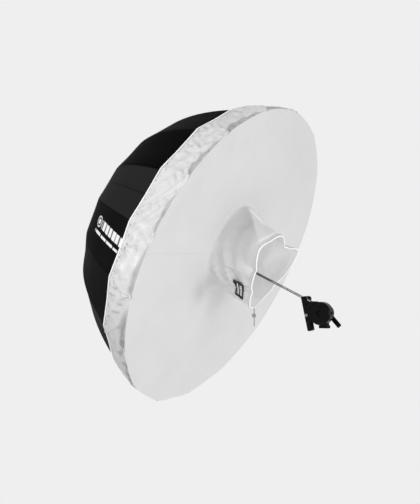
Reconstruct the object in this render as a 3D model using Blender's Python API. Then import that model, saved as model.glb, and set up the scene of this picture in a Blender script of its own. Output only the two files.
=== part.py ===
"""Deep sixteen-rib photographic umbrella with a white front diffuser, on its shaft, held in a tilting stand bracket.

Frame: origin at the mouth of the stand socket, on its axis, +Z up. The umbrella opens towards -Y and a little down.
The tilt axis of the bracket is parallel to X.
"""

import math

import bmesh
import bpy
from mathutils import Matrix, Vector

# umbrella: the rim plane is the front of the diffuser
RIBS = 16
RIM_R = 0.525  # rib tip to axis
DEPTH = 0.411  # rim plane to crown
PROFILE_POWER = 3.6  # bluntness of the back
TILT = math.radians(24.8)  # axis below horizontal
FIRST_RIB = math.radians(8.2)
CANOPY_T = 0.0008
SHEET_T = 0.001
HEM_R = 0.477  # skirt hem, where the rib profile has this radius
POCKET = 0.008  # how far the rim is drawn in between two rib tips
SLEEVE_SEAM_R = 0.150  # mean radius of the seam between sleeve and front sheet
SLEEVE_SEAM_RISE = 0.036  # how much further out the seam lies above the shaft, and nearer below it
SLEEVE_OUT = 0.152
# the slack mouth hangs from two upper corners: (angle in degrees from the sideways direction towards up, radius)
MOUTH = ((-90, 0.110), (-35, 0.078), (10, 0.079), (42, 0.150), (66, 0.137), (95, 0.150), (146, 0.176), (187, 0.096), (235, 0.092))
ROD_R = 0.0016
STRETCHER_R = 0.0012
CORD_R = 0.0015

# fold mechanism
CROWN_PIVOT_R = 0.0195
CROWN_HUB_R = 0.024
STRETCHER_JOINT = 0.150  # from crown pivot, along the rib
STRETCHER_L = 0.220
RUNNER_PIVOT_R = 0.0165

# shaft and bracket
SHAFT_R = 0.004
SHAFT_FRONT = 0.414  # shaft end in front of the rim plane
SHAFT_X = -0.023
CLAMP_Y = 0.059
CLAMP_Z = 0.0944
CLAMP_FRONT = 0.31
TILT_Z = 0.048
HEAD_R = 0.037
HEAD_X = (-0.041, -0.0113)
BASE_R = 0.028
BASE_X = (-0.0100, 0.016)
SOCKET_R = 0.0150
SOCKET_BORE_R = 0.0081
SOCKET_BORE_L = 0.036
COLLAR_R = 0.0185
BOLT_R = 0.004

A = Vector((0, -math.cos(TILT), -math.sin(TILT)))  # out of the opening
S = Vector((-1, 0, 0))
U = Vector((0, -math.sin(TILT), math.cos(TILT)))
CENTRE = Vector((SHAFT_X, CLAMP_Y, CLAMP_Z)) - A * CLAMP_FRONT


def clear_scene():
    for obj in list(bpy.data.objects):
        bpy.data.objects.remove(obj)
    for extra in list(bpy.data.collections):
        bpy.data.collections.remove(extra)


def material(name, colour, rough, metal=0.0):
    mat = bpy.data.materials.new(name)
    mat.use_nodes = True
    bsdf = mat.node_tree.nodes["Principled BSDF"]
    bsdf.inputs["Base Color"].default_value = (*colour, 1)
    bsdf.inputs["Roughness"].default_value = rough
    bsdf.inputs["Metallic"].default_value = metal
    mat.diffuse_color = (*colour, 1)
    return mat


def make(name, verts, faces, mat, where=None):
    mesh = bpy.data.meshes.new(name)
    mesh.from_pydata([tuple(v) for v in verts], [], faces)
    bm = bmesh.new()
    bm.from_mesh(mesh)
    bmesh.ops.recalc_face_normals(bm, faces=bm.faces)
    if bm.calc_volume(signed=True) < 0:
        bmesh.ops.reverse_faces(bm, faces=bm.faces)
    bm.to_mesh(mesh)
    bm.free()
    obj = bpy.data.objects.new(name, mesh)
    (where or PARTS).objects.link(obj)
    if mat:
        obj.data.materials.append(mat)
    return obj


def umb(radius, angle, z):
    """Point in the umbrella: radius and angle about the axis, z in front of the rim plane."""
    return CENTRE + (S * math.cos(angle) + U * math.sin(angle)) * radius + A * z


def rib_angle(k):
    return FIRST_RIB + 2 * math.pi * k / RIBS


def loft(rings, closed=False, caps=True):
    """Vertices and faces of a body lofted through rings of equally many points."""
    n = len(rings[0])
    verts = [p for ring in rings for p in ring]
    faces = []
    last = len(rings) if closed else len(rings) - 1
    for i in range(last):
        a, b = i * n, (i + 1) % len(rings) * n
        for j in range(n):
            k = (j + 1) % n
            faces.append((a + j, a + k, b + k, b + j))
    if caps and not closed:
        faces.append(tuple(reversed(range(n))))
        faces.append(tuple(range((len(rings) - 1) * n, len(rings) * n)))
    return verts, faces


def frame_of(axis):
    axis = axis.normalized()
    side = axis.cross(Vector((1, 0, 0)) if abs(axis.x) < 0.9 else Vector((0, 1, 0))).normalized()
    return side, axis.cross(side)


def turned(name, start, axis, profile, mat, segments=32, where=None, spin=0.0):
    """Body of revolution: profile is (radius, distance along axis) pairs. A hollow one starts and ends at the same point."""
    side, up = frame_of(axis)
    axis = axis.normalized()
    hollow = profile[0] == profile[-1]
    rings = []
    for radius, along in profile[:-1] if hollow else profile:
        ring = []
        for i in range(segments):
            t = spin + 2 * math.pi * i / segments
            ring.append(start + axis * along + (side * math.cos(t) + up * math.sin(t)) * radius)
        rings.append(ring)
    return make(name, *loft(rings, closed=hollow), mat, where)


def rod(name, start, end, radius, mat, segments=12, where=None):
    return turned(name, start, end - start, [(radius, 0), (radius, (end - start).length)], mat, segments, where)


def sweep(name, path, radius, mat, segments=8, closed=False, radii=None):
    rings = []
    count = len(path)
    normal = None
    for i, p in enumerate(path):
        before = path[i - 1] if i or closed else p
        after = path[(i + 1) % count] if i < count - 1 or closed else p
        tangent = (after - before).normalized()
        if normal is None:
            normal = frame_of(tangent)[0]
        normal = (normal - tangent * normal.dot(tangent)).normalized()
        other = tangent.cross(normal)
        r = radii[i] if radii else radius
        rings.append(
            [
                p + (normal * math.cos(2 * math.pi * j / segments) + other * math.sin(2 * math.pi * j / segments)) * r
                for j in range(segments)
            ]
        )
    return make(name, *loft(rings, closed=closed), mat)


def block(name, centre, along, width, height, mat=None, where=None, turn_x=0.0, bevel=0.0):
    """Box with sizes along X, and along Y and Z turned about X."""
    mesh = bpy.data.meshes.new(name)
    bm = bmesh.new()
    bmesh.ops.create_cube(bm, size=1)
    bmesh.ops.scale(bm, vec=(along, width, height), verts=bm.verts)
    if bevel:
        bmesh.ops.bevel(bm, geom=bm.edges[:], offset=bevel, segments=2, affect="EDGES", profile=0.5)
    bmesh.ops.rotate(bm, cent=(0, 0, 0), matrix=Matrix.Rotation(turn_x, 3, "X"), verts=bm.verts)
    bmesh.ops.translate(bm, vec=centre, verts=bm.verts)
    bmesh.ops.recalc_face_normals(bm, faces=bm.faces)
    bm.to_mesh(mesh)
    bm.free()
    obj = bpy.data.objects.new(name, mesh)
    (where or PARTS).objects.link(obj)
    if mat:
        obj.data.materials.append(mat)
    return obj


def boolean(target, cutter, operation):
    mod = target.modifiers.new(f"{operation.lower()}_{cutter.name}", "BOOLEAN")
    mod.operation = operation
    mod.solver = "EXACT"
    mod.object = cutter
    cutter.hide_render = True
    cutter.display_type = "WIRE"


def cut(target, cutter):
    boolean(target, cutter, "DIFFERENCE")


def join(target, piece):
    boolean(target, piece, "UNION")


def profile_point(radius, inward):
    """(radius, z) on the rib profile at this radius, moved inward along its normal."""
    share = (radius / RIM_R) ** PROFILE_POWER
    depth = DEPTH * (1 - share)
    slope = DEPTH * PROFILE_POWER * radius ** (PROFILE_POWER - 1) / RIM_R**PROFILE_POWER  # -d depth / d radius
    length = math.hypot(1, slope)
    return radius - inward * slope / length, -depth + inward / length


def gore(angle):
    """Share of the rib radius where the fabric lies, and 0..1 from rib to the middle of the gore."""
    step = 2 * math.pi / RIBS
    off = (angle - FIRST_RIB) % step
    mid = off - step / 2
    chord = math.cos(step / 2) / math.cos(mid)
    return chord, (1 - math.cos(2 * math.pi * off / step)) / 2


def fabric_point(radius, angle, inward):
    """Point on the stretched canopy, inward of it by the given distance."""
    r, z = profile_point(radius, inward)
    chord, middle = gore(angle)
    share = radius / RIM_R
    drawn = middle * (0.002 * share + POCKET * max(0.0, 1 - (-z) / 0.16) ** 2 * share)
    return umb(r * chord - drawn, angle, z)


def wall(outer, inner):
    """Closed wall between two skins of matching rows, both split along the same diagonals so that layers keep their gap."""
    n, count = len(outer[0]), len(outer)
    verts = [p for row in (*outer, *inner) for p in row]
    back = count * n
    faces = []
    for j in range(n):
        k = (j + 1) % n
        for i in range(count - 1):
            a, b, c, d = i * n + j, i * n + k, (i + 1) * n + k, (i + 1) * n + j
            faces += [(a, b, c), (a, c, d)]
            faces += [(back + c, back + b, back + a), (back + d, back + c, back + a)]
        low, high = 0, (count - 1) * n
        faces += [(back + low + j, back + low + k, low + k), (back + low + j, low + k, low + j)]
        faces += [(high + j, high + k, back + high + k), (high + j, back + high + k, back + high + j)]
    return verts, faces


def fabric_wall(radii, inner, outer):
    """Wall over the stretched canopy, from one distance outside it to another."""
    return wall(
        [[fabric_point(r, t, -outer) for t in around] for r in radii],
        [[fabric_point(r, t, -inner) for t in around] for r in radii],
    )


clear_scene()
PARTS = bpy.data.collections.new("umbrella_reflector")
CUTTERS = bpy.data.collections.new("cutters")
bpy.context.scene.collection.children.link(PARTS)
bpy.context.scene.collection.children.link(CUTTERS)
CUTTERS.hide_render = True

black_cloth = material("canopy_black", (0.02, 0.02, 0.022), 0.8)
white_cloth = material("diffuser_white", (0.85, 0.85, 0.85), 0.85)
steel = material("shaft_steel", (0.6, 0.6, 0.62), 0.25, 1.0)
rib_black = material("rib_black", (0.03, 0.03, 0.03), 0.4, 0.6)
black_plastic = material("bracket_black", (0.025, 0.025, 0.027), 0.35)
hub_plastic = material("hub_black", (0.03, 0.03, 0.03), 0.5)
cord_black = material("cord_black", (0.03, 0.03, 0.03), 0.9)
screw_metal = material("screw_metal", (0.5, 0.5, 0.5), 0.3, 1.0)

# fabric canopy, from the crown hub to the rim
around = [FIRST_RIB + 2 * math.pi * i / (RIBS * 4) for i in range(RIBS * 4)]
stations = [0.06, 0.11, 0.17, 0.23, 0.285, 0.335, 0.38, 0.42, 0.452, HEM_R, 0.495, 0.511, RIM_R]
half = CANOPY_T / 2
make("canopy", *fabric_wall([0.0262, *stations], -half, half), black_cloth)

# skirt of the diffuser, wrapped over the rim to its elastic hem
skirt_radii = [r for r in stations if r >= HEM_R]
skirt_in = half + 0.0007
make("diffuser_skirt", *fabric_wall(skirt_radii, skirt_in, skirt_in + SHEET_T), white_cloth)


def seam_r(t):
    return SLEEVE_SEAM_R + SLEEVE_SEAM_RISE * math.sin(t)


def mouth_r(t):
    """Radius of the mouth at an angle, eased from one corner of MOUTH to the next."""
    turn = (math.degrees(t) + 90) % 360 - 90
    ends = [*MOUTH, (MOUTH[0][0] + 360, MOUTH[0][1])]
    for (a, low), (b, high) in zip(ends, ends[1:]):
        if a <= turn <= b:
            share = (turn - a) / (b - a)
            return low + (high - low) * (1 - math.cos(math.pi * share)) / 2
    return ends[0][1]


# flat front sheet with the hole of the sleeve
def sheet_row(share, z):
    row = []
    for t in around:
        chord, middle = gore(t)
        rim = (RIM_R + 0.001) * chord - middle * (POCKET + 0.002)
        row.append(umb(seam_r(t) * (1 - share) + rim * share, t, z))
    return row


sheet_shares = [0.0, 0.25, 0.5, 0.78, 1.0]
sheet_z = 0.0018
make(
    "diffuser_front",
    *wall([sheet_row(x, sheet_z + SHEET_T) for x in sheet_shares], [sheet_row(x, sheet_z) for x in sheet_shares]),
    white_cloth,
)

# soft sleeve round the shaft, its mouth drawn in by a cord
sleeve_steps = [(0.0, 0.0), (0.10, 0.14), (0.30, 0.40), (0.50, 0.66), (0.72, 0.90), (0.90, 1.0), (1.0, 1.0)]
sleeve_gap = 0.0004


def sleeve_row(out, drawn, inset):
    row = []
    for i in range(48):
        t = 2 * math.pi * i / 48
        radius = seam_r(t) + (mouth_r(t) - seam_r(t)) * drawn
        folds = 0.004 * math.sin(math.pi * out) * math.cos(7 * t + 1.0)
        row.append(umb(radius + folds - inset, t, sheet_z + SHEET_T + sleeve_gap + SLEEVE_OUT * out))
    return row


make(
    "diffuser_sleeve",
    *wall(
        [sleeve_row(out, drawn, 0.0) for out, drawn in sleeve_steps],
        [sleeve_row(out, drawn, SHEET_T) for out, drawn in sleeve_steps],
    ),
    white_cloth,
)

# drawstring: a ring round the mouth, and its two ends hanging as one tail
ring_z = sheet_z + SHEET_T + sleeve_gap + SLEEVE_OUT - 0.006


def ring_r(t):
    return mouth_r(t) + CORD_R + 0.0022


sweep(
    "drawstring",
    [umb(ring_r(2 * math.pi * i / 96), 2 * math.pi * i / 96, ring_z) for i in range(96)],
    CORD_R,
    cord_black,
    6,
    closed=True,
)

TAIL_ANGLE = math.radians(-102)
TAIL_L = 0.061
tail_top = umb(ring_r(TAIL_ANGLE) + 2 * CORD_R + 0.0006, TAIL_ANGLE, ring_z)
rod("drawstring_tail", tail_top, tail_top + Vector((0, 0, -TAIL_L)), CORD_R, cord_black, 8)
lock_z = tail_top.z - 0.032
lock = turned(
    "cord_lock",
    Vector((tail_top.x, tail_top.y, lock_z)),
    Vector((0, 0, 1)),
    [(0.0020, 0), (0.0055, 0), (0.0062, 0.002), (0.0062, 0.010), (0.0050, 0.012), (0.0020, 0.012), (0.0020, 0)],
    hub_plastic,
    16,
)
BUTTON_R = 0.0034
cut(
    lock,
    rod("button_hole", Vector((tail_top.x - 0.0045, tail_top.y, lock_z + 0.006)), Vector((tail_top.x - 0.012, tail_top.y, lock_z + 0.006)), BUTTON_R + 0.0003, None, 16, CUTTERS),
)
rod(
    "cord_lock_button",
    Vector((tail_top.x - 0.0048, tail_top.y, lock_z + 0.006)),
    Vector((tail_top.x - 0.0110, tail_top.y, lock_z + 0.006)),
    BUTTON_R,
    hub_plastic,
    16,
)

# shaft with its end cap
turned("shaft", umb(0, 0, -DEPTH - 0.006), A, [(SHAFT_R, 0), (SHAFT_R, SHAFT_FRONT + DEPTH + 0.006)], steel, 24)
turned(
    "shaft_cap",
    umb(0, 0, SHAFT_FRONT + 0.0004),
    A,
    [(SHAFT_R, 0), (SHAFT_R + 0.0002, 0.001), (SHAFT_R + 0.0002, 0.005), (SHAFT_R - 0.0015, 0.007)],
    hub_plastic,
    20,
)

# crown: notched hub inside the fabric, finial outside it
hub_low, hub_high = -DEPTH - 0.0004, -DEPTH + 0.0070
crown = turned(
    "crown",
    umb(0, 0, 0),
    A,
    [
        (SHAFT_R + 0.0003, hub_low),
        (CROWN_HUB_R, hub_low),
        (CROWN_HUB_R, hub_high),
        (0.010, hub_high),
        (0.008, hub_high + 0.010),
        (SHAFT_R + 0.0003, hub_high + 0.010),
        (SHAFT_R + 0.0003, hub_low),
    ],
    hub_plastic,
    32,
)
NOTCH = ROD_R * 2 + 0.0009


def slot_ring(name, inner, outer, low, high, width):
    """One cutter holding a radial slot for every rib."""
    verts, faces = [], []
    for k in range(RIBS):
        t = rib_angle(k)
        out = S * math.cos(t) + U * math.sin(t)
        side = A.cross(out)
        start = len(verts)
        for z in (low, high):
            for r, w in ((inner, -1), (outer, -1), (outer, 1), (inner, 1)):
                verts.append(CENTRE + out * r + side * (w * width / 2) + A * z)
        for face in ((0, 1, 2, 3), (7, 6, 5, 4), (0, 4, 5, 1), (1, 5, 6, 2), (2, 6, 7, 3), (3, 7, 4, 0)):
            faces.append(tuple(start + i for i in face))
    return make(name, verts, faces, None, CUTTERS)


cut(crown, slot_ring("crown_slots", 0.0135, 0.030, hub_low + 0.0010, hub_high + 0.002, NOTCH))
turned(
    "crown_cap",
    umb(0, 0, -DEPTH - 0.0012),
    -A,
    [
        (SHAFT_R + 0.0003, 0),
        (0.030, 0.0),
        (0.030, 0.0016),
        (0.022, 0.0040),
        (0.011, 0.0060),
        (0.009, 0.0160),
        (0.005, 0.0190),
        (0.002, 0.0195),
        (0.002, 0.0065),
        (SHAFT_R + 0.0003, 0.0065),
        (SHAFT_R + 0.0003, 0),
    ],
    hub_plastic,
    32,
)

# ribs follow the inside of the fabric at the seams
rib_in = half + 0.0006 + ROD_R
pivot_z = profile_point(CROWN_PIVOT_R, rib_in)[1]
rib_profile = [profile_point(r, rib_in) for r in (0.0190, *stations)]
TIP_SHARE = 0.72  # a rib ends this far along its last stretch
rib_profile[-1] = tuple(a + (b - a) * TIP_SHARE for a, b in zip(rib_profile[-2], rib_profile[-1]))
for k in range(RIBS):
    path = [umb(r, rib_angle(k), z) for r, z in rib_profile]
    radii = [ROD_R] * (len(path) - 2) + [ROD_R * 0.95, ROD_R * 0.7]
    sweep(f"rib_{k + 1:02d}", path, ROD_R, rib_black, 6, radii=radii)

# where a stretcher meets its rib: on the rib's own line, at a set distance from the crown pivot
joint_r, joint_z = CROWN_PIVOT_R, pivot_z
while math.hypot(joint_r - CROWN_PIVOT_R, joint_z - pivot_z) < STRETCHER_JOINT:
    joint_r += 0.0001
    joint_z = profile_point(joint_r, rib_in)[1]
runner_z = joint_z + math.sqrt(STRETCHER_L**2 - (joint_r - RUNNER_PIVOT_R) ** 2)
direction = Vector((RUNNER_PIVOT_R - joint_r, runner_z - joint_z)).normalized()
SHORT = 0.0040  # the stretcher's end stops this far from the rib's line
for k in range(RIBS):
    start = (joint_r + direction.x * SHORT, joint_z + direction.y * SHORT)
    end = (RUNNER_PIVOT_R, runner_z)
    rod(
        f"stretcher_{k + 1:02d}",
        umb(start[0], rib_angle(k), start[1]),
        umb(end[0], rib_angle(k), end[1]),
        STRETCHER_R,
        rib_black,
        6,
    )

# runner with its notched flange and thumb button
RUNNER_BORE = SHAFT_R + 0.0004
runner = turned(
    "runner",
    umb(0, 0, runner_z),
    A,
    [
        (RUNNER_BORE, -0.006),
        (0.020, -0.006),
        (0.020, 0.006),
        (0.0095, 0.007),
        (0.0085, 0.040),
        (0.0105, 0.042),
        (0.0105, 0.048),
        (RUNNER_BORE, 0.048),
        (RUNNER_BORE, -0.006),
    ],
    hub_plastic,
    32,
)
cut(runner, slot_ring("runner_slots", 0.0128, 0.026, runner_z - 0.010, runner_z + 0.012, STRETCHER_R * 2 + 0.0010))
button_dir = S * math.cos(rib_angle(0.5)) + U * math.sin(rib_angle(0.5))
button_at = umb(0, 0, runner_z + 0.026)
cut(runner, rod("runner_button_hole", button_at + button_dir * 0.0062, button_at + button_dir * 0.020, 0.0029, None, 16, CUTTERS))
rod("runner_button", button_at + button_dir * 0.0082, button_at + button_dir * 0.0125, 0.0025, screw_metal, 16)

# tilting head: drum with the shaft hole, and the clamp arm on the umbrella's side
X = Vector((1, 0, 0))
tilt_at = Vector((0, 0, TILT_Z))
head = turned(
    "tilt_head",
    tilt_at + X * HEAD_X[0],
    X,
    [(HEAD_R - 0.004, 0), (HEAD_R, 0.004), (HEAD_R, HEAD_X[1] - HEAD_X[0] - 0.002), (HEAD_R - 0.002, HEAD_X[1] - HEAD_X[0])],
    black_plastic,
    40,
)
LEAN = math.radians(12.5)
join(head, block("arm_web", Vector((-0.023, 0.030, 0.0535)), 0.0225, 0.032, 0.065, None, CUTTERS, 0.0, 0.003))
join(head, block("arm_bar", Vector((-0.023, 0.0480, 0.0465)), 0.0225, 0.0185, 0.112, None, CUTTERS, -LEAN, 0.004))
cut(head, rod("shaft_hole", umb(0, 0, 0.25), umb(0, 0, 0.50), SHAFT_R + 0.0003, None, 24, CUTTERS))
cut(head, rod("bolt_hole_head", tilt_at + X * -0.06, tilt_at + X * 0.01, BOLT_R + 0.0003, None, 24, CUTTERS))
cut(head, rod("bolt_recess", tilt_at + X * -0.050, tilt_at + X * -0.0350, 0.0085, None, 24, CUTTERS))

# screw that clamps the shaft, through the top of the arm
clamp_point = umb(0, 0, CLAMP_FRONT + 0.004)
cut(head, rod("clamp_screw_hole", clamp_point, clamp_point + X * 0.03, 0.0033, None, 20, CUTTERS))
turned(
    "umbrella_clamp_screw",
    clamp_point + X * (SHAFT_R + 0.0004),
    X,
    [(0.0030, 0), (0.0030, 0.0105), (0.0080, 0.0110), (0.0095, 0.0130), (0.0095, 0.0200), (0.0080, 0.0220)],
    black_plastic,
    20,
)
arm_screw_at = Vector((-0.035, 0.0490, 0.0420))
cut(head, rod("arm_screw_recess", arm_screw_at + X * -0.002, arm_screw_at + X * 0.0032, 0.0058, None, 20, CUTTERS))
turned("arm_screw", arm_screw_at + X * 0.0028, -X, [(0.0054, 0), (0.0054, 0.0025), (0.0040, 0.0040)], screw_metal, 20)

# toothed washer between the two halves of the tilt joint
turned("tilt_washer", tilt_at + X * -0.0110, X, [(BOLT_R + 0.0003, 0), (0.020, 0), (0.020, 0.0007), (BOLT_R + 0.0003, 0.0007), (BOLT_R + 0.0003, 0)], screw_metal, 32)

# fixed half over the stand socket
base = turned(
    "stand_base",
    tilt_at + X * BASE_X[0],
    X,
    [(BASE_R, 0), (BASE_R, BASE_X[1] - BASE_X[0] - 0.004), (BASE_R - 0.004, BASE_X[1] - BASE_X[0])],
    black_plastic,
    40,
)
join(
    base,
    turned(
        "socket_body",
        Vector((0, 0, 0)),
        Vector((0, 0, 1)),
        [(COLLAR_R - 0.001, 0), (COLLAR_R, 0.001), (COLLAR_R, 0.009), (SOCKET_R, 0.0095), (SOCKET_R, 0.036), (0.010, 0.042)],
        None,
        32,
        CUTTERS,
    ),
)
cut(base, rod("head_clearance", tilt_at + X * -0.050, tilt_at + X * BASE_X[0], HEAD_R + 0.0012, None, 48, CUTTERS))
cut(base, rod("stud_bore", Vector((0, 0, -0.01)), Vector((0, 0, SOCKET_BORE_L)), SOCKET_BORE_R, None, 48, CUTTERS))
cut(base, block("arm_swing_flat", Vector((-0.0312, 0, 0.015)), 0.040, 0.070, 0.060, None, CUTTERS))
cut(base, rod("bolt_hole_base", tilt_at + X * -0.02, tilt_at + X * 0.03, BOLT_R + 0.0003, None, 24, CUTTERS))

# bolt through the tilt joint, and the lever that tightens it
turned(
    "tilt_bolt",
    tilt_at + X * -0.0395,
    X,
    [(0.0060, 0), (0.0078, 0.0010), (0.0078, 0.0042), (BOLT_R, 0.0042), (BOLT_R, 0.0640)],
    screw_metal,
    24,
)
LEVER_X = 0.0170
lever = turned(
    "tilt_lever",
    tilt_at + X * LEVER_X,
    X,
    [(0.0120, 0), (0.0130, 0.0020), (0.0115, 0.0160), (0.0090, 0.0175)],
    black_plastic,
    28,
)
lever_angle = math.atan2(0.048, 0.045)
lever_len = 0.060
lever_mid = tilt_at + X * (LEVER_X + 0.0100) + Vector((0, -math.cos(lever_angle), -math.sin(lever_angle))) * (lever_len / 2)
join(lever, block("lever_bar", lever_mid, 0.0085, lever_len, 0.0150, None, CUTTERS, lever_angle, 0.003))
cut(lever, rod("lever_hole", tilt_at + X * 0.012, tilt_at + X * 0.0250, BOLT_R + 0.0003, None, 24, CUTTERS))

# screw that locks the stand's stud in the socket
lock_dir = Vector((math.cos(math.radians(20)), math.sin(math.radians(20)), 0))
lock_at = Vector((0, 0, 0.0190))
cut(base, rod("lock_hole", lock_at + lock_dir * 0.005, lock_at + lock_dir * 0.030, 0.0033, None, 20, CUTTERS))
knob = turned(
    "stand_lock_screw",
    lock_at + lock_dir * 0.0098,
    lock_dir,
    [(0.0030, 0), (0.0030, 0.0100), (0.0085, 0.0110), (0.0105, 0.0130), (0.0105, 0.0230), (0.0090, 0.0250)],
    black_plastic,
    24,
)
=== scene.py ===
import math

import bpy
import numpy as np
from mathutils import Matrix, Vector


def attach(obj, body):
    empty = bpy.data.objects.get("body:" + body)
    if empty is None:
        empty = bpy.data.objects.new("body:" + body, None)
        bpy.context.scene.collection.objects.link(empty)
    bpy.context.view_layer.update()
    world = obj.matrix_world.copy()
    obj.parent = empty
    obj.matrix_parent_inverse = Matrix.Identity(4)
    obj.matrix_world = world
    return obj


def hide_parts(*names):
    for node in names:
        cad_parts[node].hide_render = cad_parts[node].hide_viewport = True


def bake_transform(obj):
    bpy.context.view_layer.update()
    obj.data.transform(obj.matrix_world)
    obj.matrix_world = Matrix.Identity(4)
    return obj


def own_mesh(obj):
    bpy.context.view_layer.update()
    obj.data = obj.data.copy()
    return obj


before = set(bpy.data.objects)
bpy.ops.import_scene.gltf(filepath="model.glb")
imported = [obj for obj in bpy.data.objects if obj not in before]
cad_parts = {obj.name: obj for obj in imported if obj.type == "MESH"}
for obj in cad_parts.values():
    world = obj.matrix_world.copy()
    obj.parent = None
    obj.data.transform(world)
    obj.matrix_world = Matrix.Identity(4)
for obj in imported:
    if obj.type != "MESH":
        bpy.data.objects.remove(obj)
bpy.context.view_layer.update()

# ---------------------------------------------------------------- the umbrella's own geometry, in metres
RIBS = 16
STEP = 2 * math.pi / RIBS
RIM_R = 0.525  # rib tips
DEPTH = 0.411  # from the rim plane back to the crown
PROFILE_POWER = 3.6
TILT = math.radians(24.8)  # of the axis, below horizontal
FIRST_RIB = math.radians(8.2)
HEM_R = 0.477  # rib radius of the skirt's elastic hem
SAG = 0.002  # how far the middle of a gore is drawn in at the rim
POCKET = 0.008  # and how much more, near the rim
CLOTH_HALF = 0.0004  # half the canopy's thickness
THIN = 0.0006  # thickness of the white cloth
SHEET_Z = 0.0018  # the front sheet's back, in front of the rim plane
SLEEVE_OUT = 0.152  # length of the sleeve
MOUTH_Z = SHEET_Z + 0.0014 + SLEEVE_OUT
# Corners of the solid sleeve's mouth: degrees, radius.
MOUTH = (
    (-90, 0.110), (-35, 0.078), (10, 0.079), (42, 0.150), (66, 0.137),
    (95, 0.150), (146, 0.176), (187, 0.096), (235, 0.092),
)
CORD_R = 0.0015
TAIL_ANGLE = math.radians(-102)
TAIL_GAP = 3 * CORD_R + 0.0028  # from the solid mouth out to the middle of the cord's tail
TAIL_BACK = 0.006  # from the mouth back to the tail's top
# The umbrella's own axes: A out of its opening, S to the camera's left, U up.
A = np.array([0, -math.cos(TILT), -math.sin(TILT)])
S = np.array([-1.0, 0, 0])
U = np.array([0, -math.sin(TILT), math.cos(TILT)])
CENTRE = np.array([-0.023, 0.059, 0.0944]) - A * 0.31  # of the rim plane


def umb(radius, angle, z):
    """Points in the umbrella's frame: radius and angle about its axis, z in front of the rim plane."""
    radius, angle, z = np.broadcast_arrays(radius, angle, z)
    out = np.cos(angle)[..., None] * S + np.sin(angle)[..., None] * U
    return CENTRE + out * radius[..., None] + A * z[..., None]


def cad_mouth_r(turn):
    """The sleeve's mouth as it is in the solid, at an angle in degrees from -90 to 270."""
    ends = [*MOUTH, (MOUTH[0][0] + 360, MOUTH[0][1])]
    for (a, low), (b, high) in zip(ends, ends[1:]):
        if a <= turn <= b:
            return low + (high - low) * (1 - math.cos(math.pi * (turn - a) / (b - a))) / 2


def tail_top():
    radius = cad_mouth_r(math.degrees(TAIL_ANGLE) + 360) + TAIL_GAP
    return umb(radius, TAIL_ANGLE, MOUTH_Z - TAIL_BACK)


def rib_angle(k):
    return FIRST_RIB + STEP * k


def depth_at(radius):
    return DEPTH * (1 - (radius / RIM_R) ** PROFILE_POWER)


def radius_at(depth):
    return RIM_R * np.maximum(0.0, 1 - depth / DEPTH) ** (1 / PROFILE_POWER)


def gore(angle):
    """The chord's share of the rib radius, and 0 at a rib to 1 in the middle between two."""
    off = (angle - FIRST_RIB) % STEP
    chord = math.cos(STEP / 2) / np.cos(off - STEP / 2)
    return chord, (1 - np.cos(2 * math.pi * off / STEP)) / 2


def slope_at(radius):
    return DEPTH * PROFILE_POWER * radius ** (PROFILE_POWER - 1) / RIM_R**PROFILE_POWER


def fabric(radius, angle, outward):
    """Points on the stretched canopy at a rib radius and an angle, pushed outward along its normal."""
    slope = slope_at(radius)
    length = np.hypot(1, slope)
    r = radius + outward * slope / length
    z = -depth_at(radius) - outward / length
    chord, middle = gore(angle)
    share = radius / RIM_R
    drawn = middle * (SAG * share + POCKET * np.maximum(0.0, 1 + z / 0.16) ** 2 * share)
    return umb(r * chord - drawn, angle, z)


def in_degrees(angle):
    """From -90 up to 270."""
    return (np.degrees(angle) + 90) % 360 - 90


def smooth(x):
    x = np.clip(x, 0, 1)
    return x * x * (3 - 2 * x)


def wobble(points, scale, seed=0.0):
    """Smooth noise, about -1 to 1, at each point."""
    place = np.asarray(points, float) * scale + seed
    cell = np.floor(place)
    part = place - cell
    part = part * part * (3 - 2 * part)
    total = 0.0
    for corner in np.ndindex(2, 2, 2):
        at = cell + corner
        value = np.sin(at @ np.array([127.1, 311.7, 74.7])) * 43758.5453
        weight = np.prod(np.where(np.array(corner) == 1, part, 1 - part), axis=-1)
        total = total + (2 * (value - np.floor(value)) - 1) * weight
    return total * 1.5


def bump_at(x, centre, width):
    return np.exp(-(((x - centre) / width) ** 2))


def creases(u, v, place, size, seeds, lean=0.0):
    """Straight sharp folds, about -1 to 1, on a surface with coordinates u and v in metres.

    Each seed gives one direction, in patches of its own."""
    total = 0.0
    for seed in seeds:
        turn = lean + 1.1 * math.sin(seed * 7.3)
        pitch = size * (0.7 + 0.6 * abs(math.sin(seed * 3.1)))
        x = (u * math.cos(turn) + v * math.sin(turn)) / pitch + seed * 0.37
        x = x + 0.35 * wobble(place, 0.35 / size, seed)
        patch = smooth(0.25 + 0.9 * wobble(place, 0.45 / size, seed + 50.0))
        total = total + patch * (np.abs(2 * (x - np.floor(x)) - 1) * 2 - 1)
    return total / len(seeds) ** 0.5


def ridged(points, scale, seed):
    """Smooth noise turned into sharp ridges, 1 along them."""
    return 1 - np.abs(wobble(points, scale, seed)) * 1.4


# ---------------------------------------------------------------- materials
WAVE_PER_METRE = 0.31  # Blender's wave scale for one thread a metre
WEAVE_DEPTH = 0.00012


def new_material(name):
    mat = bpy.data.materials.new(name)
    mat.use_nodes = True
    tree = mat.node_tree
    coords = tree.nodes.new("ShaderNodeTexCoord").outputs["Object"]
    return mat, tree, tree.nodes["Principled BSDF"], coords


def set_inputs(node, **values):
    """Sets sockets by their names, with _ for a space."""
    for key, value in values.items():
        node.inputs[key.replace("_", " ")].default_value = value


def add(tree, kind, **values):
    made = tree.nodes.new(kind)
    set_inputs(made, **values)
    return made


def math_node(tree, operation, a, b=None):
    made = tree.nodes.new("ShaderNodeMath")
    made.operation = operation
    for socket, value in zip(made.inputs, (a, b)):
        if value is None:
            continue
        if isinstance(value, (int, float)):
            socket.default_value = value
        else:
            tree.links.new(value, socket)
    return made.outputs[0]


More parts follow.
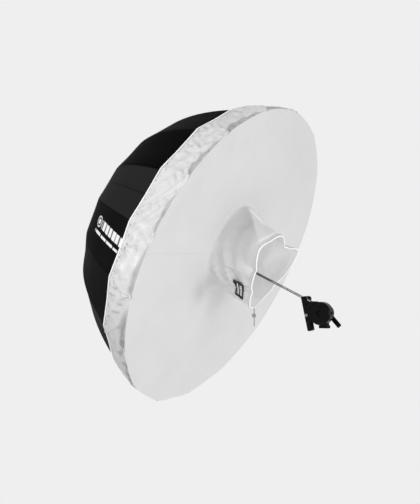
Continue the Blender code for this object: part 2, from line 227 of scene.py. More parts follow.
def noise(tree, coords, scale, detail, roughness=0.5):
    made = add(tree, "ShaderNodeTexNoise", Scale=scale, Detail=detail, Roughness=roughness)
    tree.links.new(coords, made.inputs["Vector"])
    return made.outputs["Fac"]


def relief(tree, bsdf, height, strength):
    made = add(tree, "ShaderNodeBump", Strength=strength, Distance=1.0)
    tree.links.new(height, made.inputs["Height"])
    tree.links.new(made.outputs["Normal"], bsdf.inputs["Normal"])


def weave(tree, coords, pitch):
    """Height of a plain weave at the given thread pitch in metres."""
    heights = []
    for direction in ("X", "Z"):
        wave = add(tree, "ShaderNodeTexWave", Scale=WAVE_PER_METRE / pitch, Distortion=0.6, Detail=1.0)
        wave.wave_type, wave.wave_profile, wave.bands_direction = "BANDS", "SIN", direction
        tree.links.new(coords, wave.inputs["Vector"])
        heights.append(wave.outputs["Fac"])
    return math_node(tree, "MULTIPLY", math_node(tree, "MULTIPLY", *heights), WEAVE_DEPTH)


def mottled(tree, coords, dark, light, scale):
    """A colour that drifts between dark and light."""
    ramp = tree.nodes.new("ShaderNodeValToRGB")
    low, high = ramp.color_ramp.elements
    low.position, low.color = 0.3, (*dark, 1)
    high.position, high.color = 0.7, (*light, 1)
    tree.links.new(noise(tree, coords, scale, 3.0), ramp.inputs["Fac"])
    return ramp.outputs["Color"]


def attribute(tree, name):
    made = tree.nodes.new("ShaderNodeAttribute")
    made.attribute_name = name
    return made.outputs["Fac"]


def mix_colour(tree, factor, a, b):
    """a where factor is 0, b where it is 1. a and b are colours or sockets."""
    made = tree.nodes.new("ShaderNodeMix")
    made.data_type = "RGBA"
    tree.links.new(factor, made.inputs["Factor"])
    for socket, value in ((made.inputs[6], a), (made.inputs[7], b)):
        if isinstance(value, tuple):
            socket.default_value = (*value, 1)
        else:
            tree.links.new(value, socket)
    return made.outputs[2]


def cloth_material(name, dark, light, pitch, roughness, sheen, crumple, marks=(), gloss=0.5, glow=0.0):
    """Woven cloth. marks are (attribute, colour): the colour shows where the attribute is 1.

    glow is painted light: it stands for light that comes through thin cloth."""
    mat, tree, bsdf, coords = new_material(name)
    height = weave(tree, coords, pitch)
    if crumple:
        uneven = noise(tree, coords, 38.0, 4.0, 0.55)
        height = math_node(tree, "ADD", height, math_node(tree, "MULTIPLY", uneven, crumple))
    relief(tree, bsdf, height, 0.35)
    colour = mottled(tree, coords, dark, light, 9.0)
    for word, tint in marks:
        colour = mix_colour(tree, attribute(tree, word), colour, tint)
    tree.links.new(colour, bsdf.inputs["Base Color"])
    set_inputs(bsdf, Roughness=roughness, Sheen_Weight=sheen, Sheen_Roughness=0.4, Specular_IOR_Level=gloss)
    if glow:
        set_inputs(bsdf, Emission_Color=(1, 1, 1, 1), Emission_Strength=glow)
    return mat


def hard_material(name, dark, light, roughness, metallic=0.0, grain=0.00006, scale=400.0, gloss=0.5):
    """Metal, paint or plastic with a fine grain, which also varies its roughness."""
    mat, tree, bsdf, coords = new_material(name)
    tree.links.new(mottled(tree, coords, dark, light, 60.0), bsdf.inputs["Base Color"])
    fine = noise(tree, coords, scale, 2.0)
    relief(tree, bsdf, math_node(tree, "MULTIPLY", fine, grain), 0.25)
    spread = add(tree, "ShaderNodeMapRange", To_Min=roughness * 0.8, To_Max=roughness * 1.2)
    tree.links.new(fine, spread.inputs["Value"])
    tree.links.new(spread.outputs["Result"], bsdf.inputs["Roughness"])
    set_inputs(bsdf, Metallic=metallic, Specular_IOR_Level=gloss)
    return mat


canopy_cloth = cloth_material(
    "canopy_cloth", (0.0045, 0.0045, 0.005), (0.0075, 0.0075, 0.008),
    pitch=0.0007, roughness=0.60, sheen=0.0, crumple=0.0003, gloss=0.01,
    marks=(
        # dim is painted shade and lit is painted light, on whole gores.
        ("dim", (0.0010, 0.0010, 0.0011)),
        ("lit", (0.020, 0.020, 0.0205)),
        ("seam", (0.0012, 0.0012, 0.0012)),
        ("print", (0.80, 0.80, 0.80)),
    ),
)
lining_cloth = cloth_material(
    "lining_cloth", (0.74, 0.75, 0.76), (0.82, 0.82, 0.83),
    pitch=0.0007, roughness=0.45, sheen=0.05, crumple=0.0003,
)
# On both, gleam paints highlights and shade paints shade. inner_cloth's glow is painted light, for light
# coming through the sleeve's thin cloth.
white_cloth, inner_cloth = (
    cloth_material(
        name, (0.71, 0.71, 0.715), (0.74, 0.74, 0.745),
        pitch=0.0009, roughness=0.85, sheen=0.10, crumple=0.0001, gloss=0.3, glow=glow,
        marks=(("gleam", (0.90, 0.90, 0.90)), ("shade", (0.20, 0.20, 0.205)), ("stitch", (0.05, 0.05, 0.05))),
    )
    for name, glow in (("diffuser_cloth", 0.0), ("inner_cloth", 0.22))
)
# The piping's glow is painted light that makes it brighter. The sleeve's hem uses it too.
piping_cloth = cloth_material(
    "piping_cloth", (0.90, 0.90, 0.90), (0.95, 0.95, 0.95),
    pitch=0.0006, roughness=0.6, sheen=0.1, crumple=0.0001, glow=0.12,
)
label_cloth = cloth_material(
    "label_cloth", (0.02, 0.02, 0.022), (0.03, 0.03, 0.033),
    pitch=0.0004, roughness=0.55, sheen=0.05, crumple=0.0, gloss=0.2, marks=(("print", (0.75, 0.75, 0.75)),),
)
string_cloth = cloth_material(
    "string_cloth", (0.62, 0.62, 0.62), (0.70, 0.70, 0.70),
    pitch=0.0006, roughness=0.8, sheen=0.2, crumple=0.0002,
)
cord_cloth = cloth_material(
    "cord_cloth", (0.26, 0.26, 0.265), (0.36, 0.36, 0.365),
    pitch=0.0006, roughness=0.8, sheen=0.2, crumple=0.0003,
)
shaft_steel = hard_material(
    "shaft_steel", (0.16, 0.16, 0.165), (0.24, 0.24, 0.245),
    roughness=0.34, metallic=1.0, grain=0.00001, scale=900.0,
)
screw_steel = hard_material(
    "screw_steel", (0.20, 0.20, 0.205), (0.32, 0.32, 0.33),
    roughness=0.35, metallic=1.0, grain=0.00002, scale=700.0,
)
rib_paint = hard_material(
    "rib_paint", (0.012, 0.012, 0.012), (0.03, 0.03, 0.03), roughness=0.35, metallic=0.2
)
bracket_paint = hard_material(
    "bracket_paint", (0.0015, 0.0015, 0.0017), (0.004, 0.004, 0.0042),
    roughness=0.24, grain=0.00008, scale=500.0, gloss=0.10,
)
hub_plastic = hard_material(
    "hub_plastic", (0.008, 0.008, 0.0085), (0.016, 0.016, 0.0165), roughness=0.40, gloss=0.25
)
lock_plastic = hard_material("lock_plastic", (0.34, 0.34, 0.345), (0.42, 0.42, 0.425), roughness=0.40)


# ---------------------------------------------------------------- mesh helpers
def mesh_object(name, verts, faces, materials, face_materials=None, attributes=None):
    mesh = bpy.data.meshes.new(name)
    mesh.from_pydata(np.asarray(verts).tolist(), [], faces)
    for word, values in (attributes or {}).items():
        made = mesh.attributes.new(word, "FLOAT", "POINT")
        made.data.foreach_set("value", np.asarray(values, np.float32).ravel())
    if face_materials is not None:
        mesh.polygons.foreach_set("material_index", np.asarray(face_materials, np.int32))
    mesh.polygons.foreach_set("use_smooth", [True] * len(mesh.polygons))
    mesh.update()
    obj = bpy.data.objects.new(name, mesh)
    bpy.context.scene.collection.objects.link(obj)
    for mat in materials:
        mesh.materials.append(mat)
    return obj


def grid_faces(rows, columns, start=0, flip=False, wrap=False):
    """Quads between the points of a grid whose first point is number start."""
    i, j = np.mgrid[0 : rows - 1, 0 : columns if wrap else columns - 1]
    k = (j + 1) % columns
    low, high = i * columns, (i + 1) * columns
    quads = np.stack([low + j, low + k, high + k, high + j], axis=-1).reshape(-1, 4) + start
    return (quads[:, ::-1] if flip else quads).tolist()


def ring_normals(ring):
    """Unit normals of rows that close on themselves, along across x along."""
    across = np.roll(ring, -1, axis=1) - np.roll(ring, 1, axis=1)
    n = np.cross(across, np.gradient(ring, axis=0))
    return n / np.maximum(np.linalg.norm(n, axis=-1, keepdims=True), 1e-12)


def two_skins(outer, inner):
    """The points or values of an outer skin, then those of the inner one."""
    size = outer.shape[2:]
    return np.concatenate([outer.reshape(-1, *size), inner.reshape(-1, *size)])


def set_normals(obj, normals, skins):
    """Each point's own normal on the first faces, the skins. The faces of the cut edges stay flat."""
    corners = np.zeros(len(obj.data.loops), np.int32)
    obj.data.loops.foreach_get("vertex_index", corners)
    flats = np.zeros(len(obj.data.polygons) * 3)
    obj.data.polygons.foreach_get("normal", flats)
    per_corner = normals[corners]
    per_corner[skins * 4 :] = np.repeat(flats.reshape(-1, 3)[skins:], 4, axis=0)
    obj.data.normals_split_custom_set(per_corner.tolist())


def cloth_piece(name, outer, inner, normals, materials, attributes=None):
    """Closed piece of cloth between two skins of rows by columns of points.

    The first material is on the outer skin, the last on the inner."""
    rows, columns = outer.shape[:2]
    count = rows * columns
    faces = grid_faces(rows, columns, 0, True) + grid_faces(rows, columns, count)
    skins = len(faces)
    rim = [(0, j) for j in range(columns)] + [(i, columns - 1) for i in range(1, rows)]
    rim += [(rows - 1, j) for j in range(columns - 2, -1, -1)] + [(i, 0) for i in range(rows - 2, 0, -1)]
    for (i, j), (m, n) in zip(rim, rim[1:] + rim[:1]):
        a, b = i * columns + j, m * columns + n
        faces.append((a, b, count + b, count + a))
    slots = [0] * (skins // 2) + [len(materials) - 1] * (skins // 2) + [0] * (len(faces) - skins)
    both = {word: two_skins(values, values) for word, values in (attributes or {}).items()}
    obj = mesh_object(name, two_skins(outer, inner), faces, materials, slots, both)
    set_normals(obj, two_skins(normals, -normals), skins)
    return obj


def tube(name, path, radius, mat, sides=10, closed=False):
    """Round tube through points, with flat ends unless it closes on itself."""
    count = len(path)
    after, before = np.roll(path, -1, 0), np.roll(path, 1, 0)
    if not closed:
        after[-1], before[0] = path[-1], path[0]
    tangents = after - before
    tangents /= np.linalg.norm(tangents, axis=1, keepdims=True)
    normal = np.cross(tangents[0], [0.3, 0.5, 0.8])
    rings = []
    turn = np.arange(sides) * 2 * math.pi / sides
    for p, t in zip(path, tangents):
        normal = normal - t * (normal @ t)
        normal /= np.linalg.norm(normal)
        out = np.cos(turn)[:, None] * normal + np.sin(turn)[:, None] * np.cross(t, normal)
        rings.append(p + out * radius)
    faces = []
    for i in range(count if closed else count - 1):
        for j in range(sides):
            k, m = (j + 1) % sides, (i + 1) % count
            faces.append((i * sides + j, i * sides + k, m * sides + k, m * sides + j))
    if not closed:
        faces += [tuple(reversed(range(sides))), tuple(range((count - 1) * sides, count * sides))]
    return mesh_object(name, np.concatenate(rings), faces, [mat])


def fold_with_rib(obj, k):
    """The piece turns with rib k, with a mesh of its own."""
    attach(obj, f"rib_{k + 1:02d}_body")
    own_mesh(obj)


def ride_umbrella(obj):
    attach(obj, "umbrella")


def ring_angles(per_gore):
    """Angles right round, per_gore to a gore, from the middle of the gore before the first rib."""
    return FIRST_RIB - STEP / 2 + np.arange(RIBS * per_gore) * STEP / per_gore


def of_rib(ring, k, per_gore):
    """The share of a ring that belongs to rib k, its two edges included."""
    return np.take(ring, range(k * per_gore, (k + 1) * per_gore + 1), axis=1, mode="wrap")


# ---------------------------------------------------------------- canopy
# Each gore's cloth is shared between its two ribs. BANDS are bands of rib radius, each with the
# share of its width that it keeps when the umbrella is folded.
BANDS = (
    (0.0262, 0.20, 0.92), (0.20, 0.285, 0.86), (0.285, 0.35, 0.81),
    (0.35, 0.42, 0.75), (0.42, HEM_R, 0.665), (HEM_R, RIM_R, 0.58),
)
BAND_ROWS = (12, 7, 6, 7, 8, 6)
CANOPY_PER_GORE = 24
PRINT_FINENESS = 5  # the printed pieces have this many times the points each way
PRINT_BANDS = (2, 3, 4)
PRINT_RIBS = (15, 0)
PRINT_AT = math.radians(-0.6)
SCALLOP = 0.030  # how far the cloth's edge is cut back between two ribs
SEAM_HALF, FOLD_HALF = 0.0022, 0.0018
# Degrees: the gore that faces the light, and where the low and the dim gores end. Their tones are painted
# light and painted shade.
LIT_FROM, LIT_TO, LOW_TO, DIM_TO = 8.2, 30.7, -36.8, 170


def canopy_point(param, angle, outward):
    """param is the rib radius. Past the hem it runs to the cloth's own edge."""
    middle = gore(angle)[1]
    edge = radius_at(SCALLOP * middle)
    share = np.clip((param - HEM_R) / (RIM_R - HEM_R), 0, 1)
    radius = np.where(param > HEM_R, HEM_R + (edge - HEM_R) * share, param)
    ripple = 0.0012 * middle * smooth(radius / 0.3) * wobble(umb(radius, angle, -depth_at(radius)), 9.0, 4.0)
    return fabric(radius, angle, outward + ripple)


def from_rib(angle):
    """The angle from the nearest rib, below 0 before it."""
    return (angle - FIRST_RIB + STEP / 2) % STEP - STEP / 2


def length_along_rib(radius, samples=400):
    at = np.linspace(0, RIM_R, samples)
    steps = np.hypot(1, slope_at(at)) * RIM_R / (samples - 1)
    return np.interp(radius, at, np.concatenate([[0], np.cumsum(steps)])[:samples])


def print_mask(radius, angle):
    """1 on a row of plain blocks, a ring and a thin broken bar printed along one gore."""
    back = length_along_rib(HEM_R) - length_along_rib(radius)
    off = (angle - PRINT_AT + math.pi) % (2 * math.pi) - math.pi
    side = off * radius - 0.05 * (back - 0.1)
    blocks = (np.abs(side) < 0.0145) & (back > 0.004) & (back < 0.150) & ((back / 0.0245) % 1 < 0.80)
    ring = np.hypot(side, back - 0.176)
    emblem = ((ring < 0.0185) & (ring > 0.0145)) | (ring < 0.0085)
    thin = (np.abs(side + 0.033) < 0.0042) & (back > 0.012) & (back < 0.190) & ((back / 0.047) % 1 < 0.88)
    return (blocks | emblem | thin) * 1.0


def canopy_marks(radii, angles, printed):
    to_rib = np.abs(from_rib(angles))
    seam = np.clip(1.25 - to_rib * radii / SEAM_HALF, 0, 1)
    fold_line = 0.45 * np.clip(1.2 - (STEP / 2 - to_rib) * radii / FOLD_HALF, 0, 1)
    turns = in_degrees(angles)
    return {
        "seam": np.maximum(seam, fold_line),
        "print": print_mask(radii, angles) if printed else radii * 0,
        # Painted light and shade: the gore that faces the light is painted paler, the low gores a little
        # paler, and those above it darker.
        "lit": 0.85 * (turns > LIT_FROM) * (turns < LIT_TO) + 0.25 * (turns < LOW_TO),
        "dim": 0.75 * (turns > LIT_TO) * (turns < DIM_TO),
    }


canopy_first = None
for fine in (1, PRINT_FINENESS):
    per_gore = CANOPY_PER_GORE * fine
    angles_all = ring_angles(per_gore)
    for band, (low, high, keep) in enumerate(BANDS):
        if fine > 1 and band not in PRINT_BANDS:
            continue
        rows = BAND_ROWS[band] * fine
        radii = np.linspace(low, high, rows + 1)[:, None] + np.zeros(len(angles_all))
        angles = angles_all + np.zeros((rows + 1, 1))
        outer, inner = canopy_point(radii, angles, CLOTH_HALF), canopy_point(radii, angles, -CLOTH_HALF)
        # Normals come from the cloth a little past both ends, so that bands meet without a line.
        past = (high - low) / rows
        wide = np.minimum(np.concatenate([radii[:1] - past, radii, radii[-1:] + past]), RIM_R)
        normals = -ring_normals(canopy_point(wide, angles_all + np.zeros((rows + 3, 1)), 0.0))[1:-1]
        marks = canopy_marks(radii, angles, fine > 1)
        for k in range(RIBS):
            if (k in PRINT_RIBS and band in PRINT_BANDS) != (fine > 1):
                continue
            skin = of_rib(outer, k, per_gore)
            piece = cloth_piece(
                f"canopy_{k + 1:02d}_{'abcdef'[band]}",
                skin,
                of_rib(inner, k, per_gore),
                of_rib(normals, k, per_gore),
                [canopy_cloth, lining_cloth],
                {word: of_rib(values, k, per_gore) for word, values in marks.items()},
            )
            fold_with_rib(piece, k)
            canopy_first = canopy_first or piece
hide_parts("canopy")

# ---------------------------------------------------------------- front edge of skirt and front sheet
SKIRT_PER_GORE = 64
skirt_angles = ring_angles(SKIRT_PER_GORE)
RIM_SHIFTS = (-4.5, -3, -1.5, 0, 1.5, 3, 4.5)  # degrees over which the edge's corners are eased


def rim_radius(angle):
    """The front edge, between straight chords and a round, rounder or straighter by its angle."""
    chord, middle = 0.0, 0.0
    for shift in RIM_SHIFTS:
        one, other = gore(angle + math.radians(shift))
        chord, middle = chord + one / len(RIM_SHIFTS), middle + other / len(RIM_SHIFTS)
    turn = in_degrees(angle)
    round_share = 0.80 - 0.50 * bump_at(turn, 262, 35) - 0.30 * bump_at(turn, -80, 30)
    return RIM_R * (chord + (1 - chord) * round_share) - middle * 0.004 * (1 - round_share) + 0.0008


# ---------------------------------------------------------------- skirt with its elastic hem
SKIRT_ROWS = 56
SKIRT_GAP = 0.0016  # the skirt's stand-off from the canopy
HEM_DEPTH = float(depth_at(HEM_R))
HOLLOW = 0.037  # how far behind the front edge a hollow between two rib tips can reach
FINE_CREASES = (0.030, (4.0, 5.0, 6.0), 0.3)
PIPING_R, PIPING_OUT, PIPING_POINTS = 0.0020, 0.0037, 33


def hollow_edge(angle):
    """Where the hollow between two rib tips ends. It is widest nearer the lower rib."""
    share = ((angle - FIRST_RIB) % STEP) / STEP
    gore_centre = umb(RIM_R, np.round((angle - FIRST_RIB) / STEP - 0.5), 0.0)
    lengths = 0.75 + 0.35 * wobble(gore_centre, 3.0, 8.0)
    return HOLLOW * lengths * np.sin(math.pi * share**0.55) ** 1.3 + 0.0004


def skirt_point(depth, angle, inset):
    """depth is how far behind the front edge the point is."""
    chord, middle = gore(angle)
    radius = radius_at(depth)
    drawn = middle * SAG * radius / RIM_R
    r = radius * chord - drawn + SKIRT_GAP
    start = RIM_R * chord - middle * SAG + SKIRT_GAP
    r = r + (1 - smooth(depth / 0.052)) * (rim_radius(angle) - start)
    edge = hollow_edge(angle)
    hollow = np.where(depth < edge, np.clip(depth / edge, 0, 1), np.exp(-np.maximum(depth - edge, 0) / 0.006))
    r = r - 0.07 * edge * hollow
    here = umb(RIM_R, angle, -depth * 1.15)
    long_way = umb(RIM_R, angle, -depth * 0.45)
    u = angle * RIM_R
    turn = in_degrees(angle)
    # Creases are low where the camera sees the skirt edge on, and on its far side.
    far_side = 0.75 * smooth((-48 - turn) / 20) + 0.45 * smooth((turn - 110) / 20)
    edge_on = (1 - 0.65 * bump_at(turn, 88, 24) - far_side) * (1 + 0.45 * bump_at(turn, -22, 24))
    broad = creases(u, depth, here, 0.060, (1.0, 2.0, 3.0))
    crumple = 0.0090 * broad + 0.0036 * creases(u, depth, here, *FINE_CREASES)
    crumple = edge_on * (crumple + 0.0016 * ridged(long_way, 24.0, 13.0)) + 0.0030
    fade = smooth(depth / 0.010) * smooth((HEM_DEPTH - depth) / 0.012)
    # Creases that fan out from each rib tip.
    off = from_rib(angle) * RIM_R
    back = depth - 0.004
    away = np.hypot(off, back)
    rays = np.cos(9 * np.arctan2(off, back + 1e-6) + 2 * wobble(here, 5.0, 2.0))
    fan = 0.0042 * edge_on * rays * np.exp(-away / 0.045) * smooth(away / 0.012)
    tip = 0.0025 * np.exp(-((away / 0.010) ** 2))
    # The elastic gathers the hem, and the cloth puffs out at the top.
    gather = 0.0019 * edge_on * ridged(umb(RIM_R, angle, -depth * 0.10), 95.0, 7.0)
    gather = gather * smooth(depth / HEM_DEPTH * 2.4 - 1.4)
    puff = 0.012 * bump_at(turn, 84, 13) * np.sin(math.pi * np.clip(depth / 0.11, 0, 1))
    r = r + fade * (crumple + fan + gather) + tip + puff - inset
    least = radius * chord - drawn + SKIRT_GAP - inset
    r = np.where(depth > SCALLOP * middle + 0.002, np.maximum(r, least), r)
    return umb(r, angle, -depth)


def skirt_marks(depths, angles):
    edge = hollow_edge(angles)
    gore_share = ((angles - FIRST_RIB) % STEP) / STEP
    turns = in_degrees(angles)
    u = angles * RIM_R
    here = umb(RIM_R, angles, -depths * 1.15)
    past_edge = smooth(depths / 0.01)
    # The hollows' shadows, sharp where the camera sees them square on.
    blur = 0.007 + 0.022 * smooth((8 - turns) / 20)
    shade = smooth((edge - depths) / blur + 0.35) * smooth(depths / 0.002) * smooth(edge / 0.008)
    shade = shade * (0.52 - 0.22 * gore_share)
    # Painted shade in the creases' valleys and on the low gores, and a little over the whole skirt, more near
    # its top.
    valleys = np.maximum(0, -creases(u, depths, here, *FINE_CREASES)) ** 2
    shade += (0.30 + 0.30 * bump_at(turns, -25, 30)) * valleys * past_edge
    shade += 0.38 * smooth((-4 - turns) / 40) * bump_at(turns, -45, 50) * past_edge
    shade += 0.06 + 0.11 * bump_at(turns, 62, 24)
    # Painted shade on one side of each broad crease, and painted highlights on the other.
    facets = creases(u, depths, here, 0.050, (11.0, 12.0, 13.0), 0.9) * smooth(depths / 0.012)
    shade += 0.13 * np.maximum(0, facets)
    gleam = 0.55 * np.maximum(0, -facets) ** 1.5 * (shade < 0.3)
    to_hem = HEM_DEPTH - depths
    on_line = np.abs(to_hem - 0.0065 - 0.0015 * wobble(here, 60.0, 3.0)) < 0.0016
    stitches = ((angles * HEM_R / 0.0058) % 1 < 0.45) & on_line & (wobble(here, 110.0, 1.0) > -0.3)
    stray = (wobble(here, 210.0, 6.0) > 1.02) & (to_hem < 0.030) & (to_hem > 0.004)
    return {
        "shade": np.clip(shade, 0, 0.85),
        "gleam": np.clip(gleam, 0, 0.8),
        "stitch": 0.75 * stitches + 0.5 * stray,
    }


# Rows run from the hem to the front edge.
depths = HEM_DEPTH * np.linspace(0, 1, SKIRT_ROWS)[::-1, None] + np.zeros(len(skirt_angles))
angles = skirt_angles + np.zeros((SKIRT_ROWS, 1))
outer, inner = skirt_point(depths, angles, 0.0), skirt_point(depths, angles, THIN)
normals = -ring_normals(outer)
marks = skirt_marks(depths, angles)
for k in range(RIBS):
    skin = of_rib(outer, k, SKIRT_PER_GORE)
    piece = cloth_piece(
        f"skirt_{k + 1:02d}",
        skin,
        of_rib(inner, k, SKIRT_PER_GORE),
        of_rib(normals, k, SKIRT_PER_GORE),
        [white_cloth],
        {word: of_rib(values, k, SKIRT_PER_GORE) for word, values in marks.items()},
    )
    fold_with_rib(piece, k)
    if k == 0:
        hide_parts("diffuser_skirt")
    ends = rib_angle(k) + np.linspace(-STEP / 2, STEP / 2, PIPING_POINTS)
    line = fabric(np.full(PIPING_POINTS, HEM_R), ends, PIPING_OUT)
    piping = tube(f"piping_{k + 1:02d}", line, PIPING_R, piping_cloth)
    fold_with_rib(piping, k)

# ---------------------------------------------------------------- front sheet
SHEET_ROWS = 40
INNER_SHARE = 0.80  # of the way out to the rim: where the front sheet's inner part, from the sleeve out, ends
# Where the sleeve's straight wall starts: degrees, radius.
SLEEVE_FOOT = (
    (-90, 0.094), (-60, 0.090), (-38, 0.096), (-22, 0.108), (-4, 0.124), (10, 0.136), (23, 0.146),
    (38, 0.159), (51, 0.173), (60, 0.183), (69, 0.187), (84, 0.185), (100, 0.177), (118, 0.163),
    (140, 0.150), (165, 0.140), (200, 0.125), (240, 0.105), (270, 0.094),
)


def by_angle(table, angle, ease):
    """A radius from corners (degrees, radius) right round from -90 to 270, eased over some degrees."""
    corners, radii = zip(*table)
    total = 0.0
    for shift in np.linspace(-ease, ease, 9):
        total = total + np.interp(in_degrees(angle + math.radians(shift)), corners, radii) / 9
    return total


def foot_r(angle):
    return by_angle(SLEEVE_FOOT, angle, 9)


def fillet(angle):
    """The sleeve's foot curves out into the front sheet, most at its lower left."""
    return 0.016 + 0.026 * bump_at(in_degrees(angle), -58, 34)


def sheet_radius(share, angle):
    """From the sleeve's foot, share 0, to the front edge, share 1."""
    return (foot_r(angle) + fillet(angle)) * (1 - share) + rim_radius(angle) * share


def sheet_point(share, angle, lift):
    radius = sheet_radius(share, angle)
    calm = smooth(6 * share) * smooth(7 * (1 - share))
    waves = 0.0022 * wobble(umb(radius, angle, 0.0), 5.0, 21.0) * calm
    rays = wobble(umb(0.35 + 0.1 * share, angle, 0.0), 34.0, 5.0) * smooth((share - 0.35) * 2) * calm
    rays = rays * (0.0006 + 0.0024 * bump_at(in_degrees(angle), 95, 30))
    tips = 0.0015 * np.cos(4 * math.pi * from_rib(angle) / STEP) * smooth((share - 0.75) * 4) * calm
    tucked = 0.0018 * smooth((share - 0.97) / 0.03)
    return umb(radius, angle, SHEET_Z + lift + waves + rays + tips - tucked)


def sheet_shade(share, angle):
    """A seam sewn across, and painted shade in a dimple beside the sleeve, in a corner and over the upper
    half.
    """
    radius = sheet_radius(share, angle)
    turn = in_degrees(angle)
    place = umb(radius, angle, 0.0) - CENTRE
    dimple = 0.30 * bump_at(turn, -52, 20) * bump_at(radius, 0.150, 0.035)
    corner = 0.06 * bump_at(turn, 110, 40) * smooth((share - 0.3) * 2)
    sewn = np.clip(1.3 - np.abs(place @ U - 0.014) / 0.0016, 0, 1) * (place @ S > 0)
    upper = 0.035 * smooth((place @ U) / 0.25)
    return np.clip(dimple + corner + 0.09 * sewn * smooth(share * 5) + upper, 0, 0.8)


shares = np.linspace(0, 1, SHEET_ROWS + 1)[:, None] + np.zeros(len(skirt_angles))
angles = skirt_angles + np.zeros((SHEET_ROWS + 1, 1))
outer, inner = sheet_point(shares, angles, THIN), sheet_point(shares, angles, 0.0)
rings = (outer, inner, ring_normals(outer), sheet_shade(shares, angles))
split = round(INNER_SHARE * SHEET_ROWS)
for k in range(RIBS):
    skin, back, facing, tone = (of_rib(ring, k, SKIRT_PER_GORE)[:, ::-1] for ring in rings)
    for part, rows in zip("ab", (slice(0, split + 1), slice(split, None))):
        piece = cloth_piece(
            f"front_sheet_{k + 1:02d}_{part}",
            skin[rows],
            back[rows],
            facing[rows],
            [white_cloth],
            {"shade": tone[rows]},
        )
        if part == "b":
            fold_with_rib(piece, k)
        else:
            angle = np.array([rib_angle(k)])
            still, moved = (sheet_point(np.array([share]), angle, 0.0)[0] for share in (0.0, INNER_SHARE))
            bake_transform(piece)
            if k == 0:
                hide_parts("diffuser_front")

# ---------------------------------------------------------------- sleeve
TURNS, SLEEVE_ROWS = 360, 60
WALL_FROM = 0.20  # share of the way out where the foot's curve ends
FOOT_BEND = 62  # degrees that the foot curves through
SLEEVE_R = 0.11  # a typical radius, to measure along the wall by
HEM_TUBE_R = 0.0019
STRING_AT = 0.965
SLEEVE_MOUTH = (
    (-90, 0.110), (-78, 0.106), (-48, 0.070), (-10, 0.078), (19, 0.087), (38, 0.158), (48, 0.156),
    (62, 0.145), (86, 0.149), (97, 0.143), (113, 0.118), (133, 0.138), (150, 0.196), (168, 0.160),
    (193, 0.098), (235, 0.088), (258, 0.105), (270, 0.110),
)


def mouth_r(angle):
    return by_angle(SLEEVE_MOUTH, angle, 3)


def wall_share(out):
    return np.clip((out - WALL_FROM) / (1 - WALL_FROM), 0, 1)


def ridge_turn(wall):
    """Where the ridge from the mouth's upper corner up to the foot runs, in degrees."""
    return 43 + 40 * (1 - wall)


def sleeve_point(out, angle, inset):
    """out runs from 0 at the front sheet, through a small curve, to 1 at the mouth."""
    size = fillet(angle)
    bend = np.clip(out / WALL_FROM, 0, 1) * math.radians(FOOT_BEND)
    wall = wall_share(out)
    start_r, start_z = foot_r(angle) + size * (1 - np.sin(bend)), size * (1 - np.cos(bend))
    radius = start_r * (1 - wall) + mouth_r(angle) * wall
    z = start_z + (SLEEVE_OUT - start_z) * wall
    place = umb(SLEEVE_R, angle, out * 0.09)
    swell = np.sin(math.pi * wall) ** 0.7
    u, v = angle * SLEEVE_R, out * 0.15
    folds = 0.0150 * creases(u, v, place, 0.056, (1.5, 2.5, 3.5), 0.2)
    folds += 0.0105 * creases(u, v, place, 0.030, (4.5, 5.5, 6.5), 0.4)
    folds += 0.0026 * creases(u, v, place, 0.015, (7.5, 8.5), 0.1)
    turn = in_degrees(angle)
    # Deepest at the lower left, and calm under the label.
    calm = 0.85 * bump_at(turn, -45, 24) * bump_at(out, 0.74, 0.14)
    strength = (0.22 + 1.0 * bump_at(turn, -28, 42)) * (1 - calm)
    # The ridge, and a hollow on each side of it.
    off = turn - ridge_turn(wall)
    ridge = 0.009 * np.exp(-np.abs(off) / 9) - 0.006 * bump_at(off, -26, 14) - 0.007 * bump_at(off, 22, 12)
    radius = radius + swell * (folds * strength + ridge)
    lean = bend * 90 / FOOT_BEND
    lap = 1 - np.clip(out / 0.017, 0, 1)  # the foot laps a little over the front sheet
    front = SHEET_Z + THIN + 0.0001 * lap + z
    return umb(radius + 0.001 * lap - inset * np.sin(lean), angle, front - inset * np.cos(lean))


def sleeve_marks(out, angle):
    """What the outer and inner skins show, the outer first."""
    turn, wall = in_degrees(angle), wall_share(out)
    # Shade on the left of the ridge, at the foot's lower left and along the low folds.
    left = ridge_turn(wall) - turn
    shade = 0.26 * smooth((left + 3) / 6) * np.exp(-np.maximum(left, 0) / 48) * smooth((out - 0.05) * 4)
    shade += 0.22 * bump_at(turn, -52, 22) * bump_at(out, 0.0, 0.25)
    ridges = np.maximum(0, ridged(umb(SLEEVE_R, angle, out * 0.09), 34.0, 19.0)) ** 3
    shade += 0.21 * ridges * bump_at(turn, -25, 40) * smooth((out - 0.1) * 4)
    # Painted highlights: bright strips up the right of the ridge, along the mouth and on the left wall.
    gleam = bump_at(turn, 78 + 20 * wall, 6) * smooth(wall * 5) * smooth((0.95 - wall) * 8)
    gleam += 0.8 * bump_at(out, 0.90, 0.018) * smooth((turn - 40) / 8) * smooth((112 - turn) / 8)
    gleam += 0.8 * bump_at(turn + 20 * wall, 30, 9) * bump_at(wall, 0.80, 0.16)
    # Painted shade on the inner skin: on its right side near the mouth, and faintly further in.
    within = 0.26 * bump_at(turn, 176, 30) * bump_at(out, 0.88, 0.12)
    within += 0.08 * smooth((out - 0.2) * 2) * bump_at(turn, 150, 40)
    return {
        "shade": two_skins(np.clip(shade, 0, 0.8), within),
        "gleam": two_skins(np.clip(gleam, 0, 1), gleam * 0),
    }


